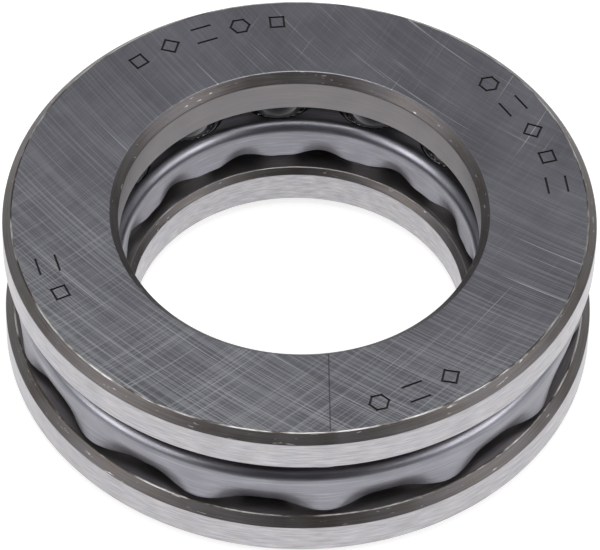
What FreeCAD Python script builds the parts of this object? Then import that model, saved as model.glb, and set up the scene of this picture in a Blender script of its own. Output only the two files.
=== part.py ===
"""Single-direction thrust ball bearing, 17 x 30 x 9 mm.

Two ground steel washers, each with a shallow round raceway, hold a ring of balls
that a pressed steel cage spaces. The shaft washer (small bore) lies at the bottom
and the housing washer (wider bore) at the top.

Frame: origin at the centre of the shaft washer's seat face, +Z along the shaft,
towards the housing washer. The first ball is on +X. Units are millimetres.
"""

import FreeCAD
import Part

import math
import os

Vector = FreeCAD.Vector

# Boundary sizes
SHAFT_BORE_DIAMETER = 17.0
HOUSING_BORE_DIAMETER = 18.3
OUTSIDE_DIAMETER = 30.0
OVERALL_HEIGHT = 9.0

# Rolling elements
BALL_DIAMETER = 4.762
BALL_COUNT = 14
PITCH_DIAMETER = 23.5
RACEWAY_CLEARANCE = 0.01
GROOVE_CONFORMITY = 0.54

# Washers
WASHER_HEIGHT = 2.55
BACK_CHAMFER = 0.45
RACE_RIM_CHAMFER = 0.45
RACE_BORE_CHAMFER = 0.30
EDGE_BREAK = 0.05

# Cage: a pressed channel, open side down
SHEET = 0.35
BALL_TO_SHEET = 0.06
POCKET_CLEARANCE = 0.05
WEB_TOP = 5.5
BEND_RADIUS = 0.6
OUTER_FLANGE_BOTTOM = 2.85
INNER_FLANGE_BOTTOM = 3.25
OUTER_CRIMP_DEPTH = 0.60
OUTER_CRIMP_RISE = 0.20
OUTER_BUMP_HALF_ANGLE = 11.0
INNER_CRIMP_DEPTH = 0.35
INNER_CRIMP_RISE = 0.10
INNER_BUMP_FLAT = 2.5

# Engraved marks on the housing washer: plain symbols in four groups
MARK_RADIUS = 13.15
MARK_SIZE = 1.0
MARK_STROKE = 0.15
MARK_DEPTH = 0.08
MARK_PITCH = 8.5

BALL_RADIUS = BALL_DIAMETER / 2
PITCH_RADIUS = PITCH_DIAMETER / 2
BALL_HEIGHT = OVERALL_HEIGHT / 2
BALL_STEP = 360.0 / BALL_COUNT
Z_AXIS = Vector(0, 0, 1)
ORIGIN = Vector(0, 0, 0)


def corner_arc(before, corner, after, radius):
    """Start, middle and end of the arc that rounds a corner of a profile."""
    back = (before - corner).normalize()
    ahead = (after - corner).normalize()
    half = back.getAngle(ahead) / 2
    bisector = (back + ahead).normalize()
    centre = corner + bisector * (radius / math.sin(half))
    setback = radius / math.tan(half)
    return corner + back * setback, centre - bisector * radius, corner + ahead * setback


def washer(bore_radius):
    """A washer with its seat face on z = 0 and its raceway facing up."""
    rim = OUTSIDE_DIAMETER / 2
    top = WASHER_HEIGHT
    groove_radius = GROOVE_CONFORMITY * BALL_DIAMETER
    groove_bottom = (OVERALL_HEIGHT - BALL_DIAMETER) / 2 - RACEWAY_CLEARANCE
    rise = groove_radius - (top - groove_bottom)
    half_width = math.sqrt(groove_radius**2 - rise**2)
    corners = [
        Vector(bore_radius, 0, top - RACE_BORE_CHAMFER),
        Vector(bore_radius, 0, BACK_CHAMFER),
        Vector(bore_radius + BACK_CHAMFER, 0, 0),
        Vector(rim - BACK_CHAMFER, 0, 0),
        Vector(rim, 0, BACK_CHAMFER),
        Vector(rim, 0, top - RACE_RIM_CHAMFER),
        Vector(rim - RACE_RIM_CHAMFER, 0, top),
        Vector(PITCH_RADIUS + half_width, 0, top),
        Vector(PITCH_RADIUS - half_width, 0, top),
        Vector(bore_radius + RACE_BORE_CHAMFER, 0, top),
    ]
    groove_corners = (7, 8)
    count = len(corners)
    arcs = {
        i: corner_arc(corners[i - 1], corners[i], corners[(i + 1) % count], EDGE_BREAK)
        for i in range(count)
        if i not in groove_corners
    }
    edges = []
    for i in range(count):
        follow = (i + 1) % count
        start = arcs[i][2] if i in arcs else corners[i]
        end = arcs[follow][0] if follow in arcs else corners[follow]
        if i in arcs:
            edges.append(Part.Arc(*arcs[i]).toShape())
        if (i, follow) == groove_corners:
            lowest = Vector(PITCH_RADIUS, 0, groove_bottom)
            edges.append(Part.Arc(start, lowest, end).toShape())
        else:
            edges.append(Part.LineSegment(start, end).toShape())
    profile = Part.Face(Part.Wire(edges))
    return profile.revolve(ORIGIN, Z_AXIS, 360)


def stroke(start, end):
    """A straight engraved line between two points of a symbol's own plane."""
    along = end - start
    length = along.Length + MARK_STROKE
    bar = Part.makeBox(length, MARK_STROKE, 2 * MARK_DEPTH)
    bar.translate(Vector(-MARK_STROKE / 2, -MARK_STROKE / 2, -MARK_DEPTH))
    bar.rotate(ORIGIN, Z_AXIS, math.degrees(math.atan2(along.y, along.x)))
    bar.translate(start)
    return bar


def outline(sides, turn):
    """The strokes of a regular outline, such as a square or a hexagon."""
    radius = MARK_SIZE / 2
    points = [
        Vector(
            radius * math.cos(math.radians(turn + 360 * i / sides)),
            radius * math.sin(math.radians(turn + 360 * i / sides)),
            0,
        )
        for i in range(sides)
    ]
    return [stroke(points[i - 1], points[i]) for i in range(sides)]


def bars(count):
    """A stack of level strokes."""
    half = MARK_SIZE / 2
    gap = MARK_SIZE / max(count - 1, 1)
    heights = [-half + gap * i for i in range(count)]
    return [stroke(Vector(-half, y, 0), Vector(half, y, 0)) for y in heights]


def mark_group(centre_angle, symbols):
    """Symbols in a row round the washer, placed on its top face."""
    placed = []
    first = centre_angle + MARK_PITCH * (len(symbols) - 1) / 2
    for i, strokes in enumerate(symbols):
        for piece in strokes:
            piece.translate(Vector(0, MARK_RADIUS, OVERALL_HEIGHT))
            piece.rotate(ORIGIN, Z_AXIS, first - MARK_PITCH * i - 90)
            placed.append(piece)
    return placed


def marks():
    """Every engraved stroke of the housing washer."""
    groups = [
        (119.5, [outline(4, 45), outline(4, 0), bars(2), outline(6, 0), outline(4, 45)]),
        (32.5, [outline(6, 0), bars(2), outline(4, 0), outline(4, 45), bars(2)]),
        (-57.0, [outline(4, 0), bars(2), outline(6, 0)]),
        (208.5, [outline(4, 45), bars(2)]),
    ]
    return [piece for angle, symbols in groups for piece in mark_group(angle, symbols)]


def housing_washer():
    """The wide-bored washer, raceway down, with its engraved marks."""
    ring = washer(HOUSING_BORE_DIAMETER / 2)
    ring.rotate(ORIGIN, Vector(1, 0, 0), 180)
    ring.translate(Vector(0, 0, OVERALL_HEIGHT))
    return ring.cut(marks())


def ball(index):
    """One ball, on the pitch circle half way between the washers."""
    angle = math.radians(BALL_STEP * index)
    place = PITCH_RADIUS * Vector(math.cos(angle), math.sin(angle), 0)
    sphere = Part.makeSphere(BALL_RADIUS)
    sphere.rotate(ORIGIN, Vector(0, 1, 0), 90)
    sphere.rotate(ORIGIN, Z_AXIS, BALL_STEP * index)
    sphere.translate(place + Vector(0, 0, BALL_HEIGHT))
    return sphere


# The cage's skins are smooth closed surfaces. Each has COLUMNS columns of poles
# round the axis and four rows along the section.
COLUMNS_PER_BALL = 8
COLUMNS = COLUMNS_PER_BALL * BALL_COUNT
COLUMN_STEP = 2 * math.pi / COLUMNS
POLE_FACTOR = 1 / (2 / 3 + math.cos(COLUMN_STEP) / 3)
ARC_HANDLE = 0.5523


def smooth_step(share):
    """0 below 0, 1 above 1, and a sine-shaped rise between."""
    return math.sin(math.pi / 2 * min(max(share, 0.0), 1.0)) ** 2


def from_ball(column):
    """Angle in degrees between a column and the nearest ball."""
    step = column % COLUMNS_PER_BALL
    return BALL_STEP * min(step, COLUMNS_PER_BALL - step) / COLUMNS_PER_BALL


def flange_poles(face_radius, inward, depth, edge):
    """A flange's outside, from its free edge up to the bend, as (radius, height)."""
    bend_foot = WEB_TOP - BEND_RADIUS
    length = bend_foot - edge
    return [
        (face_radius + inward * depth, edge),
        (face_radius + inward * depth * 0.55, edge + length * 0.33),
        (face_radius, edge + length * 0.60),
        (face_radius, bend_foot),
    ]


def offset_poles(poles, distance):
    """Poles moved square to the line that they form, by one sheet thickness."""
    moved = []
    last = len(poles) - 1
    for i, (radius, height) in enumerate(poles):
        before = poles[max(i - 1, 0)]
        after = poles[min(i + 1, last)]
        run = (after[0] - before[0], after[1] - before[1])
        size = math.hypot(*run)
        moved.append((radius - distance * run[1] / size, height + distance * run[0] / size))
    return moved


def bend_poles(face_radius, inward, radius, web_height):
    """A quarter bend between a flange and the web."""
    foot = WEB_TOP - BEND_RADIUS
    handle = ARC_HANDLE * radius
    return [
        (face_radius, foot),
        (face_radius, foot + handle),
        (face_radius + inward * (radius - handle), web_height),
        (face_radius + inward * radius, web_height),
    ]


def section(column):
    """The cage's section at one column: lists of poles, by the skin's name."""
    angle = from_ball(column)
    outer_share = smooth_step(angle / OUTER_BUMP_HALF_ANGLE)
    inner_share = smooth_step((angle - INNER_BUMP_FLAT) / (BALL_STEP / 2 - INNER_BUMP_FLAT))
    reach = BALL_RADIUS + BALL_TO_SHEET + SHEET
    outer_edge = OUTER_FLANGE_BOTTOM + OUTER_CRIMP_RISE * outer_share
    inner_edge = INNER_FLANGE_BOTTOM + INNER_CRIMP_RISE * inner_share
    sides = {
        "outer": (PITCH_RADIUS + reach, -1, OUTER_CRIMP_DEPTH * outer_share, outer_edge),
        "inner": (PITCH_RADIUS - reach, 1, INNER_CRIMP_DEPTH * inner_share, inner_edge),
    }
    skins = {}
    web = {"top": [], "under": []}
    for side, (radius, inward, depth, edge) in sides.items():
        flange = flange_poles(radius, inward, depth, edge)
        lining = offset_poles(flange, -inward * SHEET)
        skins[side + "_flange"] = flange
        skins[side + "_lining"] = lining
        skins[side + "_edge"] = [flange[0], lining[0]]
        skins[side + "_bend"] = bend_poles(radius, inward, BEND_RADIUS, WEB_TOP)
        inside = radius + inward * SHEET
        hollow = bend_poles(inside, inward, BEND_RADIUS - SHEET, WEB_TOP - SHEET)
        skins[side + "_hollow"] = hollow
        web["top"].append(skins[side + "_bend"][-1])
        web["under"].append(hollow[-1])
    skins["web_top"] = web["top"]
    skins["web_under"] = web["under"]
    return skins


def skin(rows_by_column):
    """A closed surface round the axis through columns of poles."""
    grid = []
    for column, row in enumerate(rows_by_column):
        angle = COLUMN_STEP * column
        scale = POLE_FACTOR
        grid.append(
            [Vector(r * scale * math.cos(angle), r * scale * math.sin(angle), z) for r, z in row]
        )
    along = len(grid[0])
    surface = Part.BSplineSurface()
    surface.buildFromPolesMultsKnots(
        grid,
        [1] * (COLUMNS + 1),
        [along, along],
        list(range(COLUMNS + 1)),
        [0, 1],
        True,
        False,
        3,
        along - 1,
    )
    return surface.toShape()


def cage():
    """The pressed channel with its crimped flanges and a pocket for each ball."""
    sections = [section(column) for column in range(COLUMNS)]
    faces = [skin([one[name] for one in sections]) for name in sections[0]]
    shell = Part.makeShell(faces)
    shell.sewShape()
    blank = Part.makeSolid(Part.Shell(shell.Faces))
    if blank.Volume < 0:
        blank.reverse()
    pockets = []
    for index in range(BALL_COUNT):
        angle = math.radians(BALL_STEP * index)
        place = Vector(math.cos(angle), math.sin(angle), 0) * PITCH_RADIUS
        pocket_radius = BALL_RADIUS + POCKET_CLEARANCE
        pockets.append(Part.makeSphere(pocket_radius, place + Vector(0, 0, BALL_HEIGHT)))
    return blank.cut(pockets)


def main():
    os.makedirs("parts", exist_ok=True)
    nodes = {
        "shaft_washer": washer(SHAFT_BORE_DIAMETER / 2),
        "housing_washer": housing_washer(),
        "cage": cage(),
    }
    for index in range(BALL_COUNT):
        nodes["ball_%02d" % (index + 1)] = ball(index)
    for name, shape in nodes.items():
        shape.exportStep("parts/%s.step" % name)
        print(name, shape.isValid(), len(shape.Solids), round(shape.Volume, 3))


main()
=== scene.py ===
"""Looks of a single-direction thrust ball bearing, 17 x 30 x 9 mm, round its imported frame.

Shapes are modelled in millimetres and brought to metres when a piece is finished.
"""

import math

import bmesh
import bpy
from mathutils import Matrix, Vector


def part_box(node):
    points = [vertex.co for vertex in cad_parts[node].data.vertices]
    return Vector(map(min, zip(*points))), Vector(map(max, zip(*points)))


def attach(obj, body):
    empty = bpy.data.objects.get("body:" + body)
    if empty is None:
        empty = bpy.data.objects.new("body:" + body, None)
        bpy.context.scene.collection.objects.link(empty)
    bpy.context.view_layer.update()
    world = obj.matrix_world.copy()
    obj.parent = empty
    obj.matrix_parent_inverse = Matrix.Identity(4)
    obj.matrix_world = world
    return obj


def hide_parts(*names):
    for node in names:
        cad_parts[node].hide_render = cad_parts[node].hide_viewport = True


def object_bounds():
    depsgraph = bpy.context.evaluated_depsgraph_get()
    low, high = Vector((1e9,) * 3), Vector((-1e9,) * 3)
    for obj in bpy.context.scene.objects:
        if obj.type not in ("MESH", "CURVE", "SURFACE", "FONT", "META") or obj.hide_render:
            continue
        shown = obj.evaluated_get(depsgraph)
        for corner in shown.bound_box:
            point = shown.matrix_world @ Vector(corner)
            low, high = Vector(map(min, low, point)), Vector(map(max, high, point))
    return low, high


bl_info = {
    "name": "Thrust ball bearing",
    "version": (1, 0, 0),
    "blender": (4, 5, 0),
    "location": "View3D > Sidebar > Bearing",
    "description": "Washers, pressed cage and balls of a thrust ball bearing, with a small studio",
    "category": "Add Mesh",
}

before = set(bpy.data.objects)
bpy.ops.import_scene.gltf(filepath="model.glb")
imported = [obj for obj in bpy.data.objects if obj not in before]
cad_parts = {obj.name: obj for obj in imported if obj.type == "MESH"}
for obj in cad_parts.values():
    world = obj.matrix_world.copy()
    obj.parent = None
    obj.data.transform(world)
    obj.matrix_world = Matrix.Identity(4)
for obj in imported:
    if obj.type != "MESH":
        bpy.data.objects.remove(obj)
CAD_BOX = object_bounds()

MM = 0.001
FULL_TURN = 2 * math.pi
BALL_NODES = sorted(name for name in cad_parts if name.startswith("ball_"))
BALL_STEP = FULL_TURN / len(BALL_NODES)
FIRST_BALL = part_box(BALL_NODES[0])
BALL_RADIUS = (FIRST_BALL[1].z - FIRST_BALL[0].z) / 2
BALL_CENTRE = (FIRST_BALL[0] + FIRST_BALL[1]) / 2
CAGE_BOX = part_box("cage")
RIM_RADIUS = CAD_BOX[1].x
OVERALL_HEIGHT = CAD_BOX[1].z
WASHER_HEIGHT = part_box("shaft_washer")[1].z


# ---------------------------------------------------------------- sizes and colours


def linear(code):
    """The linear colour of an sRGB hex value such as #8a8c90."""
    shares = [int(code[i : i + 2], 16) / 255 for i in (1, 3, 5)]
    return tuple(s / 12.92 if s <= 0.04045 else ((s + 0.055) / 1.055) ** 2.4 for s in shares)


def length_property(name, description, default):
    """A size in metres that the sidebar shows with its unit."""
    return bpy.props.FloatProperty(
        name=name,
        description=description,
        default=default,
        min=0.0,
        precision=5,
        unit="LENGTH",
    )


def colour_property(name, description, code):
    """A colour that the sidebar shows as a swatch."""
    return bpy.props.FloatVectorProperty(
        name=name,
        description=description,
        default=linear(code),
        min=0.0,
        max=1.0,
        size=3,
        subtype="COLOR",
    )


class BearingWasherSizes(bpy.types.PropertyGroup):
    """Sizes of the two washers."""

    shaft_bore: length_property("Shaft bore", "Bore radius of the lower washer", 8.5 * MM)
    housing_bore: length_property("Housing bore", "Bore radius of the upper washer", 9.15 * MM)
    back_chamfer: length_property("Seat chamfer", "Chamfer next to a seat face", 0.45 * MM)
    rim_chamfer: length_property("Rim chamfer", "Raceway-side chamfer at the rim", 0.45 * MM)
    bore_chamfer: length_property("Bore chamfer", "Raceway-side chamfer at the bore", 0.30 * MM)
    edge_break: length_property("Edge break", "Rounding of every corner", 0.05 * MM)
    clearance: length_property("Clearance", "Gap under each ball", 0.01 * MM)
    conformity: bpy.props.FloatProperty(
        name="Groove conformity",
        description="Groove radius as a share of the ball's diameter",
        default=0.54,
    )
    mark_radius: length_property("Mark circle", "Radius of the circle of symbols", 13.15 * MM)
    mark_size: length_property("Mark size", "Width of a stamped symbol", 1.0 * MM)
    mark_stroke: length_property("Mark stroke", "Width of a stamped line", 0.15 * MM)
    mark_depth: length_property("Mark depth", "Depth of a stamped line", 0.08 * MM)
    mark_pitch: bpy.props.FloatProperty(
        name="Mark pitch",
        description="Angle from one symbol to the next",
        default=math.radians(8.5),
        subtype="ANGLE",
    )


class BearingCageSizes(bpy.types.PropertyGroup):
    """Sizes of the pressed cage."""

    sheet: length_property("Sheet", "Thickness of the sheet", 0.35 * MM)
    room: length_property("Room", "Gap between a ball and the flanges", 0.06 * MM)
    pocket: length_property("Pocket", "Gap between a ball and its pocket", 0.05 * MM)
    bend: length_property("Bend", "Outside radius of the two bends", 0.6 * MM)
    outer_crimp: length_property("Outer crimp", "Inward push between balls", 0.60 * MM)
    outer_rise: length_property("Outer rise", "Lift of the edge between balls", 0.20 * MM)
    inner_crimp: length_property("Inner crimp", "Outward push between balls", 0.35 * MM)
    inner_rise: length_property("Inner rise", "Lift of the edge between balls", 0.10 * MM)
    inner_trim: length_property("Inner trim", "How much shorter the inner flange is", 0.40 * MM)
    edge_round: length_property("Edge round", "Rounding of the sheet's edges", 0.08 * MM)


class BearingColours(bpy.types.PropertyGroup):
    """Colours of the steel finishes and the studio."""

    ground: colour_property("Ground face", "Surface-ground hardened steel", "#9d9da5")
    ground_dark: colour_property("Ground face, dull", "Older, duller patches", "#7c7c83")
    scratch: colour_property("Scratch", "Fresh metal in a scratch", "#e6e8ec")
    # Painted shade: the bore colour is darker than the rim to stand in for the shade inside the
    # bore.
    rim: colour_property("Ground rim", "Centreless-ground rim and bore", "#a5a1a3")
    bore: colour_property("Turned bore", "Hard-turned bore of the upper washer", "#807c7c")
    oxide: colour_property("Oxide", "Brown heat-treatment oxide", "#5c5550")
    nick: colour_property("Nick", "Bare steel in a nick", "#d9d7d4")
    race: colour_property("Raceway", "Honed raceway", "#9a9696")
    land: colour_property("Land", "Flat beside the raceway", "#a29d9d")
    sheet: colour_property("Cage sheet", "Tumbled cold-rolled strip", "#8c8b93")
    ball: colour_property("Ball", "Lapped chrome steel", "#a2a2a4")
    floor: colour_property("Floor", "Matt table", "#b4b4b4")


# ---------------------------------------------------------------- material nodes


def add(tree, kind, inputs=None, **settings):
    """Adds a node. Each input is given a value, or linked to another node's socket."""
    made = tree.nodes.new(kind)
    for name, value in settings.items():
        setattr(made, name, value)
    for key, value in (inputs or {}).items():
        if isinstance(value, bpy.types.NodeSocket):
            tree.links.new(value, made.inputs[key])
        else:
            made.inputs[key].default_value = value
    return made


def new_material(name, metallic=1.0):
    """An empty material with a Principled shader. Returns the material, tree and shader."""
    material = bpy.data.materials.new(name)
    material.use_nodes = True
    tree = material.node_tree
    tree.nodes.clear()
    shader = add(tree, "ShaderNodeBsdfPrincipled", {"Metallic": metallic})
    add(tree, "ShaderNodeOutputMaterial", {"Surface": shader.outputs["BSDF"]})
    return material, tree, shader


def millimetres(tree):
    """The place on the piece, in millimetres."""
    place = add(tree, "ShaderNodeTexCoord").outputs["Object"]
    scale = (1 / MM, 1 / MM, 1 / MM)
    return add(tree, "ShaderNodeMapping", {"Vector": place, "Scale": scale}).outputs[0]


def round_coordinates(tree, centre, across, along, seed):
    """A place as (distance from an upright axis, arc length round it), in pattern steps.

    across and along are the pattern's sizes in millimetres, square to the lines and
    along them. centre is where the axis stands, in millimetres.
    """
    place = millimetres(tree)
    offset = add(
        tree,
        "ShaderNodeVectorMath",
        {0: place, 1: (centre[0], centre[1], 0)},
        operation="SUBTRACT",
    )
    parts = add(tree, "ShaderNodeSeparateXYZ", {0: offset.outputs[0]})
    flat = add(tree, "ShaderNodeCombineXYZ", {0: parts.outputs[0], 1: parts.outputs[1]})
    distance = add(
        tree, "ShaderNodeVectorMath", {0: flat.outputs[0]}, operation="LENGTH"
    ).outputs["Value"]
    angle = add(
        tree, "ShaderNodeMath", {0: parts.outputs[1], 1: parts.outputs[0]}, operation="ARCTAN2"
    ).outputs[0]
    arc = math.hypot(*centre) or BALL_CENTRE.x / MM
    return add(
        tree,
        "ShaderNodeCombineXYZ",
        {
            0: add(
                tree, "ShaderNodeMath", {0: distance, 1: 1 / across}, operation="MULTIPLY"
            ).outputs[0],
            1: add(
                tree, "ShaderNodeMath", {0: angle, 1: arc / along}, operation="MULTIPLY"
            ).outputs[0],
            2: add(
                tree,
                "ShaderNodeMath",
                {0: parts.outputs[2], 1: 1 / across, 2: seed},
                operation="MULTIPLY_ADD",
            ).outputs[0],
        },
    ).outputs[0]


def arc_lines(tree, centre, across, along, seed, low, high):
    """Fine lines drawn round a centre: 0 between them and 1 on them."""
    lines = add(
        tree,
        "ShaderNodeTexNoise",
        {
            "Vector": round_coordinates(tree, centre, across, along, seed),
            "Scale": 1.0,
            "Detail": 3.0,
            "Roughness": 0.6,
        },
    )
    return add(
        tree,
        "ShaderNodeMapRange",
        {"Value": lines.outputs[0], "From Min": low, "From Max": high},
    ).outputs[0]


def patches(tree, size, low, high, seed=0.0):
    """Soft irregular patches of a size in millimetres, from 0 to 1."""
    cloud = add(
        tree,
        "ShaderNodeTexNoise",
        {"Vector": millimetres(tree), "W": seed, "Scale": 1 / size, "Detail": 4.0},
        noise_dimensions="4D",
    )
    return add(
        tree,
        "ShaderNodeMapRange",
        {"Value": cloud.outputs[0], "From Min": low, "From Max": high},
    ).outputs[0]


def blend(tree, share, first, second):
    """A colour between two, by a share."""
    inputs = {0: share}
    for key, value in ((6, first), (7, second)):
        if isinstance(value, bpy.types.NodeSocket):
            inputs[key] = value
        else:
            inputs[key] = (*value, 1.0)
    return add(tree, "ShaderNodeMix", inputs, data_type="RGBA").outputs[2]


def between(tree, share, low, high):
    """A number between two, by a share from 0 to 1."""
    return add(
        tree, "ShaderNodeMapRange", {"Value": share, "To Min": low, "To Max": high}
    ).outputs[0]


def relief(tree, shader, height, depth):
    """Gives the shader a relief of a depth in millimetres."""
    bump = add(tree, "ShaderNodeBump", {"Height": height, "Strength": 1.0, "Distance": depth * MM})
    tree.links.new(bump.outputs[0], shader.inputs["Normal"])


# Machining lines are too fine to show, so every steel below draws them coarser than
# they would be. Spacings, lengths, centres and colours are given, not measured,
# and the ways of machining that are named are assumed.

# The direction in which the seat faces are drawn with more and brighter scratches: real wear, with
# painted sheen on the side where the scratches catch the light
SCRATCH_SHEEN_SIDE = (-0.28, -0.96, 0.0)

# The centres of the arcs of scratches, in millimetres from the bearing's axis
AXIS = (0, 0)
WHEEL_CENTRE = (31, 45)
CROSS_CENTRE = (-46, 28)
STRAY_CENTRE = (-60, 34)

# The scribed line: which way it runs, and how far in millimetres it passes the axis
HAIRLINE_ANGLE = math.radians(-81.8)
HAIRLINE_OFFSET = 1.27
HAIRLINE_HALF_WIDTH = 0.02
HAIRLINE_FADE = 0.05


def hairline(tree):
    """One fine dark line scribed outwards across the face, as a share from 0 to 1."""
    place = millimetres(tree)
    out = (math.cos(HAIRLINE_ANGLE), math.sin(HAIRLINE_ANGLE), 0)
    aside = (-out[1], out[0], 0)
    outward = add(
        tree, "ShaderNodeVectorMath", {0: place, 1: out}, operation="DOT_PRODUCT"
    ).outputs["Value"]
    sideways = add(
        tree, "ShaderNodeVectorMath", {0: place, 1: aside}, operation="DOT_PRODUCT"
    ).outputs["Value"]
    across = add(
        tree, "ShaderNodeMath", {0: sideways, 1: HAIRLINE_OFFSET}, operation="SUBTRACT"
    ).outputs[0]
    near = add(tree, "ShaderNodeMath", {0: across}, operation="ABSOLUTE").outputs[0]
    thin = add(
        tree,
        "ShaderNodeMapRange",
        {
            "Value": near,
            "From Min": HAIRLINE_HALF_WIDTH,
            "From Max": HAIRLINE_FADE,
            "To Min": 0.7,
            "To Max": 0.0,
        },
    ).outputs[0]
    front = add(tree, "ShaderNodeMath", {0: outward, 1: 0.0}, operation="GREATER_THAN").outputs[0]
    return add(tree, "ShaderNodeMath", {0: thin, 1: front}, operation="MULTIPLY").outputs[0]


def ground_face_steel(colours):
    """Hardened bearing steel, ground flat on a rotary table: shallow arcs of scratches
    that cross, a few long bright ones, and stronger scratches towards one side of the part,
    partly real wear and partly painted sheen where they catch the light."""
    material, tree, shader = new_material("surface_ground_bearing_steel")
    main = arc_lines(tree, WHEEL_CENTRE, 0.07, 9.0, 1.0, 0.46, 0.70)
    cross = arc_lines(tree, CROSS_CENTRE, 0.08, 6.0, 7.0, 0.50, 0.74)
    bright = arc_lines(tree, WHEEL_CENTRE, 0.15, 22.0, 13.0, 0.645, 0.70)
    stray = arc_lines(tree, STRAY_CENTRE, 0.17, 15.0, 29.0, 0.69, 0.73)
    cloud = patches(tree, 5.0, 0.3, 0.75)
    # Painted sheen: towards the front-left the scratches are drawn stronger and brighter, partly
    # real wear and partly light caught on that side.
    side = add(
        tree,
        "ShaderNodeVectorMath",
        {0: millimetres(tree), 1: SCRATCH_SHEEN_SIDE},
        operation="DOT_PRODUCT",
    ).outputs["Value"]
    wear_and_sheen = add(
        tree,
        "ShaderNodeMapRange",
        {"Value": side, "From Min": -8.0, "From Max": 10.0, "To Min": 0.2, "To Max": 1.0},
    ).outputs[0]
    crossing = add(
        tree,
        "ShaderNodeMapRange",
        {"Value": side, "From Min": 1.0, "From Max": 11.0, "To Min": 0.08, "To Max": 0.6},
    ).outputs[0]
    ground = add(tree, "ShaderNodeMath", {0: main, 1: wear_and_sheen}, operation="MULTIPLY").outputs[0]
    crossed = add(tree, "ShaderNodeMath", {0: cross, 1: crossing}, operation="MULTIPLY").outputs[0]
    mottle = patches(tree, 1.1, 0.35, 0.65, 14.0)
    broad = blend(tree, cloud, colours.ground, colours.ground_dark)
    body = blend(tree, between(tree, mottle, 0.0, 0.4), broad, colours.ground_dark)
    lined = blend(tree, between(tree, ground, 0.0, 0.65), body, colours.scratch)
    criss = blend(tree, crossed, lined, colours.scratch)
    long_lines = blend(tree, between(tree, bright, 0.0, 0.9), criss, colours.scratch)
    strays = blend(tree, between(tree, stray, 0.0, 0.8), long_lines, colours.scratch)
    marked = blend(tree, hairline(tree), strays, colours.oxide)
    tree.links.new(marked, shader.inputs["Base Color"])
    tree.links.new(between(tree, ground, 0.42, 0.34), shader.inputs["Roughness"])
    height = add(tree, "ShaderNodeMath", {0: ground, 1: crossed}, operation="ADD").outputs[0]
    relief(tree, shader, height, 0.004)
    return material


def ground_rim_steel(colours):
    """Centreless-ground steel: bright satin with fine short lines round the part."""
    material, tree, shader = new_material("centreless_ground_steel")
    lines = arc_lines(tree, AXIS, 0.10, 1.1, 3.0, 0.38, 0.68)
    cloud = patches(tree, 0.9, 0.38, 0.66)
    body = blend(tree, between(tree, cloud, 0.0, 0.5), colours.rim, colours.ground)
    lined = blend(tree, between(tree, lines, 0.0, 0.35), body, colours.scratch)
    tree.links.new(lined, shader.inputs["Base Color"])
    tree.links.new(between(tree, cloud, 0.30, 0.36), shader.inputs["Roughness"])
    relief(tree, shader, lines, 0.002)
    return material


def turned_bore_steel_with_painted_shade(colours):
    """Hard-turned bore that nothing runs in: duller than the ground walls, and painted darker than
    them to stand in for the shade inside the bore.
    """
    material, tree, shader = new_material("hard_turned_steel_with_painted_shade")
    lines = arc_lines(tree, AXIS, 0.06, 4.0, 21.0, 0.35, 0.7)
    cloud = patches(tree, 1.5, 0.35, 0.7, 12.0)
    body = blend(tree, between(tree, cloud, 0.0, 0.4), colours.bore, colours.ground_dark)
    lined = blend(tree, between(tree, lines, 0.0, 0.2), body, colours.rim)
    tree.links.new(lined, shader.inputs["Base Color"])
    tree.links.new(between(tree, cloud, 0.34, 0.42), shader.inputs["Roughness"])
    relief(tree, shader, lines, 0.002)
    return material


def oxidised_turned_steel(colours):
    """Turned chamfers that were not ground after hardening: thin brown oxide, with
    bare nicks where parts knocked together."""
    material, tree, shader = new_material("turned_steel_with_brown_oxide")
    lines = arc_lines(tree, AXIS, 0.06, 3.0, 5.0, 0.35, 0.7)
    cloud = patches(tree, 2.2, 0.35, 0.65, 2.0)
    nicks = arc_lines(tree, AXIS, 0.14, 0.8, 9.0, 0.66, 0.71)
    body = blend(tree, between(tree, cloud, 0.0, 0.35), colours.oxide, colours.ground_dark)
    lined = blend(tree, between(tree, lines, 0.0, 0.2), body, colours.ground)
    nicked = blend(tree, between(tree, nicks, 0.0, 0.75), lined, colours.nick)
    tree.links.new(nicked, shader.inputs["Base Color"])
    tree.links.new(between(tree, cloud, 0.42, 0.52), shader.inputs["Roughness"])
    relief(tree, shader, lines, 0.003)
    return material


def worn_edge_steel(colours):
    """Outer corners beside the chamfers: oxide knocked off in streaks along the edge."""
    material, tree, shader = new_material("oxidised_steel_worn_bright")
    bare = arc_lines(tree, AXIS, 0.6, 2.2, 31.0, 0.44, 0.58)
    body = blend(tree, bare, colours.oxide, colours.nick)
    tree.links.new(body, shader.inputs["Base Color"])
    shader.inputs["Roughness"].default_value = 0.45
    return material


def honed_raceway_steel(colours):
    """Honed raceway: satin, with very fine lines in the rolling direction."""
    material, tree, shader = new_material("honed_raceway_steel")
    lines = arc_lines(tree, AXIS, 0.07, 9.0, 11.0, 0.4, 0.7)
    body = blend(tree, between(tree, lines, 0.0, 0.25), colours.race, colours.rim)
    tree.links.new(body, shader.inputs["Base Color"])
    tree.links.new(between(tree, lines, 0.28, 0.36), shader.inputs["Roughness"])
    return material


def turned_land_steel(colours):
    """The flats beside a raceway: dull turned steel with a few bright scratches."""
    material, tree, shader = new_material("hard_turned_land_steel")
    lines = arc_lines(tree, AXIS, 0.05, 5.0, 23.0, 0.35, 0.7)
    bright = arc_lines(tree, AXIS, 0.10, 4.0, 27.0, 0.64, 0.70)
    body = blend(tree, between(tree, lines, 0.0, 0.3), colours.land, colours.oxide)
    lined = blend(tree, between(tree, bright, 0.0, 0.8), body, colours.scratch)
    tree.links.new(lined, shader.inputs["Base Color"])
    tree.links.new(between(tree, lines, 0.34, 0.42), shader.inputs["Roughness"])
    relief(tree, shader, lines, 0.002)
    return material


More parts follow.
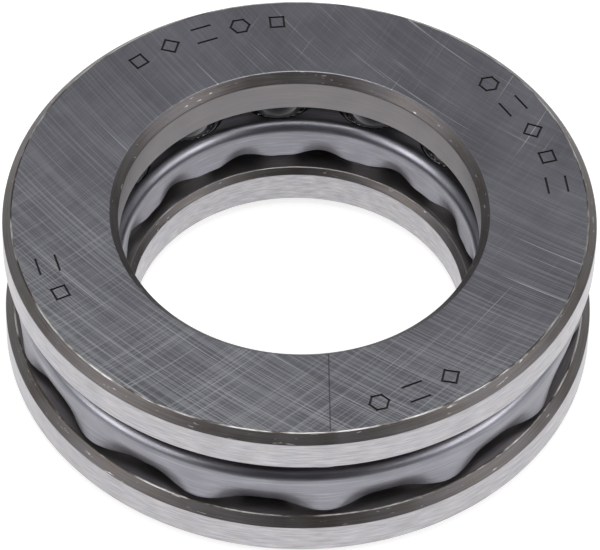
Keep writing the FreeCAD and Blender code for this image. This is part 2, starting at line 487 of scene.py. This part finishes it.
def stamped_steel(colours):
    """The walls of a stamped mark: oxide brown mottled with near-black, painted shade of the
    narrow grooves.
    """
    material, tree, shader = new_material("stamped_steel_with_painted_shade")
    cloud = patches(tree, 0.3, 0.35, 0.65, 4.0)
    # Painted shade: the near-black share stands in for the shade in the narrow stamped grooves;
    # the oxide share is the steel's own colour.
    body = blend(tree, between(tree, cloud, 0.25, 0.6), colours.oxide, (0.05, 0.05, 0.055))
    tree.links.new(body, shader.inputs["Base Color"])
    shader.inputs["Roughness"].default_value = 0.5
    return material


def tumbled_strip_steel(colours):
    """Cold-rolled strip, pressed and then tumbled: smooth blue-grey satin with faint
    clouding and drawing lines round the bends."""
    material, tree, shader = new_material("tumbled_cold_rolled_strip")
    cloud = patches(tree, 1.6, 0.3, 0.7, 6.0)
    lines = arc_lines(tree, AXIS, 0.10, 2.5, 17.0, 0.45, 0.8)
    body = blend(tree, between(tree, cloud, 0.0, 0.45), colours.sheet, colours.ground_dark)
    lined = blend(tree, between(tree, lines, 0.0, 0.2), body, colours.scratch)
    tree.links.new(lined, shader.inputs["Base Color"])
    tree.links.new(between(tree, cloud, 0.32, 0.40), shader.inputs["Roughness"])
    relief(tree, shader, cloud, 0.003)
    return material


def lapped_ball_steel(colours):
    """Lapped chrome steel: a mirror, with the faintest bloom."""
    material, tree, shader = new_material("lapped_chrome_steel")
    bloom = patches(tree, 0.8, 0.4, 0.8, 8.0)
    body = blend(tree, between(tree, bloom, 0.0, 0.2), colours.ball, colours.race)
    tree.links.new(body, shader.inputs["Base Color"])
    tree.links.new(between(tree, bloom, 0.02, 0.06), shader.inputs["Roughness"])
    return material


TABLE_GLOW = 0.8


def matt_table(colours):
    """Matt white board, lit a little from below."""
    material, tree, shader = new_material("matt_white_board", 0.0)
    shader.inputs["Base Color"].default_value = (*colours.floor, 1.0)
    shader.inputs["Roughness"].default_value = 0.9
    shader.inputs["Specular IOR Level"].default_value = 0.0
    shader.inputs["Emission Strength"].default_value = TABLE_GLOW
    return material


# ---------------------------------------------------------------- shaping


def mesh_object(name, shape):
    """An object of a bmesh, smooth shaded and linked into the scene."""
    for face in shape.faces:
        face.smooth = True
    mesh = bpy.data.meshes.new(name)
    shape.to_mesh(mesh)
    shape.free()
    made = bpy.data.objects.new(name, mesh)
    bpy.context.scene.collection.objects.link(made)
    return made


def discard(extra):
    """Removes a helper object and its mesh."""
    mesh = extra.data
    bpy.data.objects.remove(extra)
    bpy.data.meshes.remove(mesh)


def apply_modifiers(piece):
    """Makes what the modifiers show the piece's own mesh."""
    view = bpy.context.evaluated_depsgraph_get()
    applied = bpy.data.meshes.new_from_object(piece.evaluated_get(view))
    rough = piece.data
    piece.modifiers.clear()
    piece.data = applied
    bpy.data.meshes.remove(rough)
    applied.name = piece.name


def close_slivers(mesh):
    """Merges points that a cut left closer together than the finest real edge."""
    shape = bmesh.new()
    shape.from_mesh(mesh)
    bmesh.ops.remove_doubles(shape, verts=shape.verts, dist=5e-4)
    bmesh.ops.dissolve_degenerate(shape, edges=shape.edges, dist=5e-4)
    shape.to_mesh(mesh)
    shape.free()


def finish_piece(piece, sharp_angle):
    """Applies the modifiers, keeps flats flat in the shading, and brings the mesh to metres."""
    apply_modifiers(piece)
    close_slivers(piece.data)
    piece.data.set_sharp_from_angle(angle=sharp_angle)
    levelled = piece.modifiers.new("level_normals", "WEIGHTED_NORMAL")
    levelled.keep_sharp = True
    apply_modifiers(piece)
    piece.data.transform(Matrix.Scale(MM, 4))


def spun(shape, steps):
    """Spins a profile's wire once round the Z axis and points its faces outwards."""
    bmesh.ops.spin(
        shape,
        geom=shape.verts[:] + shape.edges[:],
        cent=(0, 0, 0),
        axis=(0, 0, 1),
        angle=FULL_TURN,
        steps=steps,
        use_merge=True,
    )
    bmesh.ops.remove_doubles(shape, verts=shape.verts, dist=1e-5)
    bmesh.ops.recalc_face_normals(shape, faces=shape.faces)


ZONES = ("seat", "rim", "bore", "chamfer", "edge", "race", "land")

# How upright a face's normal is, at most, on a wall and on a chamfer, and at least on
# the part of a rounded corner that wears bright
WALL_NORMAL = 0.5
CHAMFER_NORMAL = 0.9
WORN_CORNER_NORMAL = 0.75

GROOVE_STEPS = 28
WASHER_STEPS = 240
COLUMNS_PER_BALL = 24


def washer_ring(sizes, bore_radius):
    """The ring of a washer, seat down, with one material number for each zone."""
    rim = RIM_RADIUS / MM
    top = WASHER_HEIGHT / MM
    bore = bore_radius / MM
    back = sizes.back_chamfer / MM
    pitch = BALL_CENTRE.x / MM
    groove = 2 * sizes.conformity * BALL_RADIUS / MM
    floor = (OVERALL_HEIGHT / 2 - BALL_RADIUS - sizes.clearance) / MM
    half = math.acos(1 - (top - floor) / groove)
    half_width = groove * math.sin(half)
    rim_edge = sizes.rim_chamfer / MM
    bore_edge = sizes.bore_chamfer / MM
    before = [
        (pitch - half_width, top),
        (bore + bore_edge, top),
        (bore, top - bore_edge),
        (bore, back),
        (bore + back, 0),
        (rim - back, 0),
        (rim, back),
        (rim, top - rim_edge),
        (rim - rim_edge, top),
        (pitch + half_width, top),
    ]
    shape = bmesh.new()
    chain = [shape.verts.new((radius, 0, height)) for radius, height in before]
    for first, second in zip(chain, chain[1:]):
        shape.edges.new((first, second))
    bmesh.ops.spin(
        shape,
        geom=[chain[-1]],
        cent=(pitch, 0, floor + groove),
        axis=(0, 1, 0),
        angle=2 * half,
        steps=GROOVE_STEPS,
    )
    bmesh.ops.remove_doubles(shape, verts=shape.verts, dist=1e-4)
    spun(shape, WASHER_STEPS)
    corners = [(radius, height) for radius, height in before[1:-1]]
    rings = []
    for edge in shape.edges:
        ends = [(math.hypot(v.co.x, v.co.y), v.co.z) for v in edge.verts]
        if any(all(math.dist(end, corner) < 1e-3 for end in ends) for corner in corners):
            rings.append(edge)
    rounding = bmesh.ops.bevel(
        shape,
        geom=rings,
        offset=sizes.edge_break / MM,
        affect="EDGES",
        segments=3,
        profile=0.5,
        material=-1,
    )
    corner_faces = set(rounding["faces"])
    for face in shape.faces:
        middle = face.calc_center_median()
        radius = math.hypot(middle.x, middle.y)
        upright = abs(face.normal.z)
        if upright < WALL_NORMAL:
            zone = "rim" if radius > pitch else "bore"
        elif face in corner_faces and upright > WORN_CORNER_NORMAL and radius > pitch:
            zone = "edge"
        elif upright < CHAMFER_NORMAL and not bore + 1 < radius < rim - 1:
            zone = "chamfer"
        elif middle.z < top / 2:
            zone = "seat"
        elif abs(radius - pitch) < half_width:
            zone = "race"
        else:
            zone = "land"
        face.material_index = ZONES.index(zone)
    return shape


def stroke_bar(shape, sizes, start, end):
    """A tapered bar that presses one line of a symbol, from start to end."""
    along = end - start
    stroke = sizes.mark_stroke / MM
    depth = sizes.mark_depth / MM
    bar = bmesh.ops.create_cube(shape, size=1.0)["verts"]
    bmesh.ops.scale(shape, verts=bar, vec=(along.length + stroke, stroke, 2 * depth))
    narrow = [vert for vert in bar if vert.co.z < 0]
    bmesh.ops.scale(shape, verts=narrow, vec=(0.93, 0.45, 1.0))
    turn = Matrix.Rotation(math.atan2(along.y, along.x), 3, "Z")
    bmesh.ops.rotate(shape, verts=bar, matrix=turn)
    bmesh.ops.translate(shape, verts=bar, vec=(start + end) / 2)
    return bar


def outline(sizes, sides, turn):
    """The lines of a regular outline such as a square or a diamond."""
    radius = sizes.mark_size / MM / 2
    angles = [math.radians(turn) + FULL_TURN * i / sides for i in range(sides)]
    points = [Vector((radius * math.cos(a), radius * math.sin(a), 0)) for a in angles]
    return [(points[i - 1], points[i]) for i in range(sides)]


def bars(sizes, count):
    """A stack of level lines."""
    half = sizes.mark_size / MM / 2
    heights = [-half + 2 * half * i / (count - 1) for i in range(count)]
    return [(Vector((-half, y, 0)), Vector((half, y, 0))) for y in heights]


def stamp(sizes):
    """The tool that presses every symbol into the upper washer, as one mesh."""
    diamond = outline(sizes, 4, 0)
    square = outline(sizes, 4, 45)
    hexagon = outline(sizes, 6, 0)
    pair = bars(sizes, 2)
    groups = (
        (119.5, (square, diamond, pair, hexagon, square)),
        (32.5, (hexagon, pair, diamond, square, pair)),
        (-57.0, (diamond, pair, hexagon)),
        (208.5, (square, pair)),
    )
    shape = bmesh.new()
    for middle, symbols in groups:
        first = math.radians(middle) + sizes.mark_pitch * (len(symbols) - 1) / 2
        for i, symbol in enumerate(symbols):
            around = Matrix.Rotation(first - sizes.mark_pitch * i - math.pi / 2, 4, "Z")
            place = around @ Matrix.Translation(
                (0, sizes.mark_radius / MM, OVERALL_HEIGHT / MM)
            )
            for start, end in symbol:
                bar = stroke_bar(shape, sizes, start, end)
                bmesh.ops.transform(shape, matrix=place, verts=bar)
    return mesh_object("stamp", shape)


def smooth_step(share):
    """0 below 0, 1 above 1, and a sine-shaped rise between."""
    return math.sin(math.pi / 2 * min(max(share, 0.0), 1.0)) ** 2


# Angles about the bearing's axis, from the middle of a ball. The outer flange is fully
# pressed in from the first one on. The inner one is not pressed in up to the second.
OUTER_REACH = math.radians(11.0)
INNER_FLAT = math.radians(2.5)

# A flange bends as a cubic curve. Its second point keeps this share of the push, and
# its second and third points stand at these shares of the height.
SECOND_PUSH = 0.55
SECOND_HEIGHT = 0.33
THIRD_HEIGHT = 0.60


def crimp(shape, sizes, foot, low):
    """Presses the flanges in between the balls and lifts their edges there."""
    pitch = BALL_CENTRE.x / MM
    half_step = BALL_STEP / 2
    for vert in shape.verts:
        s = (vert.co.z - low) / (foot - low)
        if s >= 1:
            continue
        radius = math.hypot(vert.co.x, vert.co.y)
        angle = math.atan2(vert.co.y, vert.co.x) % BALL_STEP
        away = min(angle, BALL_STEP - angle)
        bottom = low
        if radius > pitch:
            share = smooth_step(away / OUTER_REACH)
            push = -sizes.outer_crimp / MM * share
            rise = sizes.outer_rise / MM * share
        else:
            share = smooth_step((away - INNER_FLAT) / (half_step - INNER_FLAT))
            push = sizes.inner_crimp / MM * share
            rise = sizes.inner_rise / MM * share
            bottom += sizes.inner_trim / MM
        t = 1 - s
        moved = radius + push * (t**3 + 3 * SECOND_PUSH * t * t * s)
        climb = 3 * SECOND_HEIGHT * t * t * s + 3 * THIRD_HEIGHT * t * s * s + s**3
        vert.co.x *= moved / radius
        vert.co.y *= moved / radius
        vert.co.z = bottom + rise + (foot - bottom - rise) * climb


def cage_skin(sizes):
    """The outside skin of the channel: two flanges, two bends and the web."""
    pitch = BALL_CENTRE.x / MM
    reach = (BALL_RADIUS + sizes.room + sizes.sheet) / MM
    bend = sizes.bend / MM
    web = CAGE_BOX[1].z / MM
    foot = web - bend
    bottom = CAGE_BOX[0].z / MM
    shape = bmesh.new()
    flange_steps = 16
    bend_steps = 12
    last = None
    for i in range(flange_steps + 1):
        height = bottom + (foot - bottom) * i / flange_steps
        vert = shape.verts.new((pitch + reach, 0, height))
        if last:
            shape.edges.new((last, vert))
        last = vert
    made = bmesh.ops.spin(
        shape,
        geom=[last],
        cent=(pitch + reach - bend, 0, foot),
        axis=(0, 1, 0),
        angle=-math.pi / 2,
        steps=bend_steps,
    )
    web_end = [g for g in made["geom_last"] if isinstance(g, bmesh.types.BMVert)][0]
    web_steps = 6
    width = 2 * (reach - bend)
    for i in range(web_steps):
        vert = shape.verts.new((pitch + reach - bend - width * (i + 1) / web_steps, 0, web))
        shape.edges.new((web_end, vert))
        web_end = vert
    made = bmesh.ops.spin(
        shape,
        geom=[web_end],
        cent=(pitch - reach + bend, 0, foot),
        axis=(0, 1, 0),
        angle=-math.pi / 2,
        steps=bend_steps,
    )
    last = [g for g in made["geom_last"] if isinstance(g, bmesh.types.BMVert)][0]
    for i in range(flange_steps):
        height = foot + (bottom - foot) * (i + 1) / flange_steps
        vert = shape.verts.new((pitch - reach, 0, height))
        shape.edges.new((last, vert))
        last = vert
    bmesh.ops.remove_doubles(shape, verts=shape.verts, dist=1e-5)
    spun(shape, COLUMNS_PER_BALL * len(BALL_NODES))
    crimp(shape, sizes, foot, bottom)
    bmesh.ops.recalc_face_normals(shape, faces=shape.faces)
    highest = max(shape.faces, key=lambda face: face.calc_center_median().z)
    if highest.normal.z < 0:
        bmesh.ops.reverse_faces(shape, faces=shape.faces)
    return shape


def pocket_punch(sizes):
    """One sphere for each ball, a little larger than the ball, as one mesh."""
    shape = bmesh.new()
    for i in range(len(BALL_NODES)):
        turn = Matrix.Rotation(BALL_STEP * i, 4, "Z")
        place = turn @ Matrix.Translation(BALL_CENTRE / MM)
        bmesh.ops.create_uvsphere(
            shape,
            u_segments=72,
            v_segments=48,
            radius=(BALL_RADIUS + sizes.pocket) / MM,
            matrix=place,
        )
    return mesh_object("pocket_punch", shape)


def cut_away(piece, tool, crosses_itself):
    """Takes a tool's shape out of a piece."""
    cut = piece.modifiers.new("cut", "BOOLEAN")
    cut.operation = "DIFFERENCE"
    cut.solver = "EXACT"
    cut.use_self = crosses_itself
    cut.material_mode = "TRANSFER"
    cut.object = tool


def hand_over(piece, node):
    """Puts a finished piece in the place of the frame's solid."""
    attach(piece, node)
    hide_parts(node)


# ---------------------------------------------------------------- operators


class BEARING_OT_washers(bpy.types.Operator):
    """Add the shaft washer and the housing washer"""

    bl_idname = "bearing.washers"
    bl_label = "Washers"

    def execute(self, context):
        sizes = context.scene.bearing_washers
        colours = context.scene.bearing_colours
        seat = ground_face_steel(colours)
        rim = ground_rim_steel(colours)
        chamfer = oxidised_turned_steel(colours)
        edge = worn_edge_steel(colours)
        race = honed_raceway_steel(colours)
        land = turned_land_steel(colours)
        for node, bore, wall in (
            ("shaft_washer", sizes.shaft_bore, rim),
            ("housing_washer", sizes.housing_bore, turned_bore_steel_with_painted_shade(colours)),
        ):
            finishes = (seat, rim, wall, chamfer, edge, race, land)
            shape = washer_ring(sizes, bore)
            if node == "housing_washer":
                over = Matrix.Rotation(math.pi, 4, "X")
                lift = Matrix.Translation((0, 0, OVERALL_HEIGHT / MM))
                bmesh.ops.transform(shape, matrix=lift @ over, verts=shape.verts)
            ring = mesh_object(node + "_ring", shape)
            for finish in finishes:
                ring.data.materials.append(finish)
            tool = None
            if node == "housing_washer":
                tool = stamp(sizes)
                tool.data.materials.append(stamped_steel(colours))
                cut_away(ring, tool, True)
            finish_piece(ring, math.radians(28))
            if tool:
                discard(tool)
            hand_over(ring, node)
        return {"FINISHED"}


class BEARING_OT_cage(bpy.types.Operator):
    """Add the pressed cage with its pockets and crimped flanges"""

    bl_idname = "bearing.cage"
    bl_label = "Cage"

    def execute(self, context):
        sizes = context.scene.bearing_cage
        skin = mesh_object("pressed_cage", cage_skin(sizes))
        skin.data.materials.append(tumbled_strip_steel(context.scene.bearing_colours))
        wall = skin.modifiers.new("sheet", "SOLIDIFY")
        wall.thickness = sizes.sheet / MM
        wall.offset = -1
        wall.use_even_offset = True
        rounding = skin.modifiers.new("edge_round", "BEVEL")
        rounding.width = sizes.edge_round / MM
        rounding.segments = 3
        rounding.limit_method = "ANGLE"
        rounding.angle_limit = math.radians(60)
        punch = pocket_punch(sizes)
        cut_away(skin, punch, False)
        finish_piece(skin, math.radians(40))
        discard(punch)
        hand_over(skin, "cage")
        return {"FINISHED"}


class BEARING_OT_balls(bpy.types.Operator):
    """Add the ring of balls"""

    bl_idname = "bearing.balls"
    bl_label = "Balls"

    def execute(self, context):
        finish = lapped_ball_steel(context.scene.bearing_colours)
        for i, node in enumerate(BALL_NODES):
            low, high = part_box(node)
            shape = bmesh.new()
            bmesh.ops.create_uvsphere(
                shape,
                u_segments=80,
                v_segments=40,
                radius=BALL_RADIUS / MM,
            )
            tilt = Matrix.Rotation(math.pi / 2, 4, "Y")
            turn = Matrix.Rotation(BALL_STEP * i, 4, "Z")
            middle = Matrix.Translation((low + high) / 2 / MM)
            bmesh.ops.transform(shape, matrix=middle @ turn @ tilt, verts=shape.verts)
            made = mesh_object("lapped_" + node, shape)
            made.data.materials.append(finish)
            finish_piece(made, math.radians(60))
            hand_over(made, node)
        return {"FINISHED"}


def room_light(scene):
    """The room round the table: mid grey overhead, lighter low down, dark where the
    viewer stands."""
    world = bpy.data.worlds.new("studio_room")
    scene.world = world
    world.use_nodes = True
    tree = world.node_tree
    tree.nodes.clear()
    direction = add(tree, "ShaderNodeTexCoord").outputs["Generated"]
    height = add(tree, "ShaderNodeSeparateXYZ", {0: direction}).outputs[2]
    level = add(
        tree,
        "ShaderNodeMapRange",
        {"Value": height, "From Min": 0.0, "From Max": 0.7, "To Min": 0.55, "To Max": 0.24},
    ).outputs[0]
    toward = add(
        tree,
        "ShaderNodeVectorMath",
        {0: direction, 1: viewer_direction()},
        operation="DOT_PRODUCT",
    ).outputs["Value"]
    shade = add(
        tree,
        "ShaderNodeMapRange",
        {"Value": toward, "From Min": 0.5, "From Max": 0.92, "To Min": 1.0, "To Max": 0.16},
        interpolation_type="SMOOTHSTEP",
    ).outputs[0]
    strength = add(tree, "ShaderNodeMath", {0: level, 1: shade}, operation="MULTIPLY")
    background = add(
        tree,
        "ShaderNodeBackground",
        {"Color": (0.97, 0.98, 1.0, 1.0), "Strength": strength.outputs[0]},
    )
    add(tree, "ShaderNodeOutputWorld", {"Surface": background.outputs[0]})


VIEW_TURN = math.radians(6.46)
VIEW_ELEVATION = math.radians(48.857)
VIEW_ROLL = math.radians(1.154)
VIEW_DISTANCE = 269.33 * MM
VIEW_RIGHT = 0.13 * MM
VIEW_UP = 2.636 * MM
LENS = 312.76


def viewer_direction():
    """The unit direction from the bearing to the camera."""
    level = Vector((0, -math.cos(VIEW_ELEVATION), math.sin(VIEW_ELEVATION)))
    return Matrix.Rotation(VIEW_TURN, 3, "Z") @ level


def softbox(name, azimuth, elevation, distance, size, strength):
    """A rectangular soft light that faces the bearing. Azimuth 0 is in front."""
    light = bpy.data.lights.new(name, "AREA")
    light.shape = "RECTANGLE"
    light.size = size[0]
    light.size_y = size[1]
    light.energy = strength
    lamp = bpy.data.objects.new(name, light)
    turn = VIEW_TURN + math.radians(azimuth)
    up = math.radians(elevation)
    reach = distance * math.cos(up)
    lamp.location = (reach * math.sin(turn), -reach * math.cos(turn), distance * math.sin(up))
    lamp.rotation_euler = (-lamp.location).to_track_quat("-Z", "Y").to_euler()
    bpy.context.scene.collection.objects.link(lamp)


class BEARING_OT_stage(bpy.types.Operator):
    """Add the table, the lights and the camera"""

    bl_idname = "bearing.stage"
    bl_label = "Stage"

    def execute(self, context):
        scene = context.scene
        shape = bmesh.new()
        bmesh.ops.create_circle(shape, cap_ends=True, segments=96, radius=3.0 / MM)
        bmesh.ops.recalc_face_normals(shape, faces=shape.faces)
        table = mesh_object("table", shape)
        table.data.materials.append(matt_table(scene.bearing_colours))
        table.data.transform(Matrix.Scale(MM, 4))
        room_light(scene)
        softbox("overhead_light", 0, 88, 1.0, (0.5, 0.5), 3.2)
        softbox("left_light", -68, 40, 0.8, (0.35, 0.45), 2.0)
        softbox("right_light", 72, 38, 0.8, (0.35, 0.45), 2.0)
        camera = bpy.data.cameras.new("camera")
        camera.lens = LENS
        camera.sensor_width = 36
        camera.clip_start = 0.01
        camera.clip_end = 20
        eye = bpy.data.objects.new("camera", camera)
        scene.collection.objects.link(eye)
        ahead = Vector((0, math.cos(VIEW_ELEVATION), -math.sin(VIEW_ELEVATION)))
        level = Vector((1, 0, 0))
        above = Vector((0, math.sin(VIEW_ELEVATION), math.cos(VIEW_ELEVATION)))
        right = math.cos(VIEW_ROLL) * level + math.sin(VIEW_ROLL) * above
        up = math.cos(VIEW_ROLL) * above - math.sin(VIEW_ROLL) * level
        place = right * VIEW_RIGHT + up * VIEW_UP - ahead * VIEW_DISTANCE
        pose = Matrix((right, up, -ahead)).transposed().to_4x4()
        pose.translation = place
        eye.matrix_world = Matrix.Rotation(VIEW_TURN, 4, "Z") @ pose
        scene.camera = eye
        scene.view_settings.view_transform = "Standard"
        return {"FINISHED"}


class BEARING_PT_panel(bpy.types.Panel):
    """The bearing's sizes, colours and pieces"""

    bl_idname = "BEARING_PT_panel"
    bl_label = "Thrust ball bearing"
    bl_space_type = "VIEW_3D"
    bl_region_type = "UI"
    bl_category = "Bearing"

    def draw(self, context):
        for name in GROUPS:
            box = self.layout.box()
            group = getattr(context.scene, name)
            for key in group.bl_rna.properties.keys():
                if key not in ("rna_type", "name"):
                    box.prop(group, key)
        for step in STEPS:
            self.layout.operator(step.bl_idname)


GROUPS = {
    "bearing_washers": BearingWasherSizes,
    "bearing_cage": BearingCageSizes,
    "bearing_colours": BearingColours,
}
STEPS = (BEARING_OT_stage, BEARING_OT_washers, BEARING_OT_cage, BEARING_OT_balls)
CLASSES = (*GROUPS.values(), *STEPS, BEARING_PT_panel)


def register():
    for cls in CLASSES:
        bpy.utils.register_class(cls)
    for name, group in GROUPS.items():
        setattr(bpy.types.Scene, name, bpy.props.PointerProperty(type=group))


def unregister():
    for name in GROUPS:
        delattr(bpy.types.Scene, name)
    for cls in reversed(CLASSES):
        bpy.utils.unregister_class(cls)


def main():
    register()
    bpy.ops.bearing.stage()
    bpy.ops.bearing.washers()
    bpy.ops.bearing.cage()
    bpy.ops.bearing.balls()
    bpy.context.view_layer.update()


if __name__ == "__main__":
    main()
